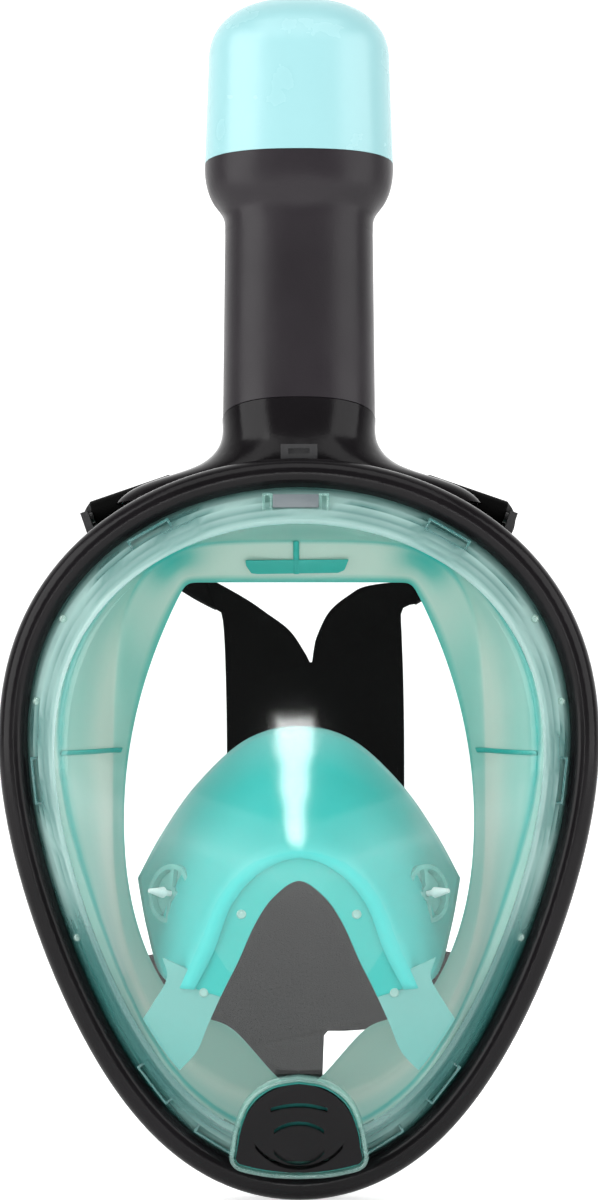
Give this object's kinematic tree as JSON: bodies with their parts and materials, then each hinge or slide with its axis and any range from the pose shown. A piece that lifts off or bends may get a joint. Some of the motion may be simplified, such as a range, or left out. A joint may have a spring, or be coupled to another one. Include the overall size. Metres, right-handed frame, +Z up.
{
  "type": "full face snorkel",
  "caption": "Full face snorkel: clear lens in an oval frame, silicone face skirt and nose cup, snorkel with a float-shut dry top, chin drain and head strap.",
  "frame": {"origin": "middle of the face opening, at the mount face_seal", "axes": "+Z up along the mask, +Y towards the back of the wearer's head, the lens faces -Y"},
  "size_m": [0.202, 0.1594, 0.4113],
  "materials": {
    "black_plastic": "glossy injection moulded plastic with a faint orange peel",
    "black_satin": "satin moulded plastic",
    "mint_plastic": "glossy mint plastic",
    "clear_lens": "clear polycarbonate, polished",
    "clear_plastic": "clear moulded plastic",
    "pale_silicone": "translucent silicone, satin",
    "teal_silicone": "translucent silicone, satin",
    "white_silicone": "soft silicone",
    "black_rubber": "matte rubber with a fine grain",
    "float_foam": "closed foam skin",
    "steel": "bright zinc"
  },
  "bodies": {
    "mask": {"chin_valve_cover": "black_plastic", "chin_valve_seat": "black_satin", "clip_pins": "clear_plastic", "exhale_duct_left": "pale_silicone", "exhale_duct_right": "pale_silicone", "face_skirt": "pale_silicone", "frame_hooks": "black_satin", "frame_screws": "steel", "inhale_valve_seat_left": "clear_plastic", "inhale_valve_seat_right": "clear_plastic", "lens": "clear_lens", "main_frame": "black_plastic", "nose_cup": "teal_silicone", "nose_cup_clip": "clear_plastic", "rear_frame": "black_satin", "strap_anchor_lower_left": "black_satin", "strap_anchor_lower_right": "black_satin", "strap_anchor_upper_left": "black_satin", "strap_anchor_upper_right": "black_satin", "strap_clip_lower_left": "black_satin", "strap_clip_lower_right": "black_satin", "top_catch": "black_plastic"},
    "snorkel": {"snorkel_tube": "black_plastic", "tube_gasket": "teal_silicone", "dry_top_cap": "mint_plastic", "valve_plate": "black_satin", "float_seat_ring": "teal_silicone", "air_riser": "black_satin", "duct_deck": "black_satin", "exhale_valve_seat_left": "black_satin", "exhale_valve_seat_right": "black_satin", "float_cage": "black_satin", "button_spring": "steel"},
    "button": {"release_button": "black_satin"},
    "float": {"float": "float_foam", "float_seal": "teal_silicone"},
    "exhale_flap_left": {"exhale_flap_left": "teal_silicone"},
    "exhale_flap_right": {"exhale_flap_right": "teal_silicone"},
    "inhale_flap_left": {"inhale_flap_left": "white_silicone"},
    "inhale_flap_right": {"inhale_flap_right": "white_silicone"},
    "chin_flap": {"chin_valve_flap": "teal_silicone"},
    "strap": {"strap_panel": "black_rubber", "strap_arm_upper_left": "black_rubber", "strap_arm_upper_right": "black_rubber", "strap_arm_lower_left": "black_rubber", "strap_arm_lower_right": "black_rubber"}
  },
  "joints": [
    {"name": "snorkel_lift", "type": "slide", "parent": "mask", "child": "snorkel", "axis": [0, 0.1685, 0.9857], "range_m": [0, 0.035]},
    {"name": "button_press", "type": "slide", "parent": "snorkel", "child": "button", "axis": [0, -0.9857, 0.1685], "range_m": [0, 0.0025], "stiffness_N_per_m": 500, "deforming": ["button_spring"]},
    {"name": "float_rise", "type": "slide", "parent": "snorkel", "child": "float", "axis": [0, 0.1685, 0.9857], "range_m": [0, 0.0078]},
    {"name": "exhale_flap_left_open", "type": "hinge", "parent": "snorkel", "child": "exhale_flap_left", "pos_m": [-0.0116, -0.01186, 0.20922], "axis": [0, 0.9857, -0.1685], "range_deg": [0, 35], "stiffness_Nm_per_rad": 0.002},
    {"name": "exhale_flap_right_open", "type": "hinge", "parent": "snorkel", "child": "exhale_flap_right", "pos_m": [0.0116, -0.01186, 0.20922], "axis": [0, -0.9857, 0.1685], "range_deg": [0, 35], "stiffness_Nm_per_rad": 0.002},
    {"name": "inhale_flap_left_open", "type": "slide", "parent": "mask", "child": "inhale_flap_left", "axis": [0.7001, 0.7001, -0.14], "range_m": [0, 0.0015], "stiffness_N_per_m": 20},
    {"name": "inhale_flap_right_open", "type": "slide", "parent": "mask", "child": "inhale_flap_right", "axis": [-0.7001, 0.7001, -0.14], "range_m": [0, 0.0015], "stiffness_N_per_m": 20},
    {"name": "chin_flap_open", "type": "slide", "parent": "mask", "child": "chin_flap", "axis": [0, -0.9903, -0.1392], "range_m": [0, 0.0016], "stiffness_N_per_m": 20},
    {"name": "strap_stretch", "type": "slide", "parent": "mask", "child": "strap", "axis": [0, 1, 0], "range_m": [0, 0.055], "stiffness_N_per_m": 80, "deforming": ["strap_arm_upper_left", "strap_arm_upper_right", "strap_arm_lower_left", "strap_arm_lower_right"]}
  ]
}
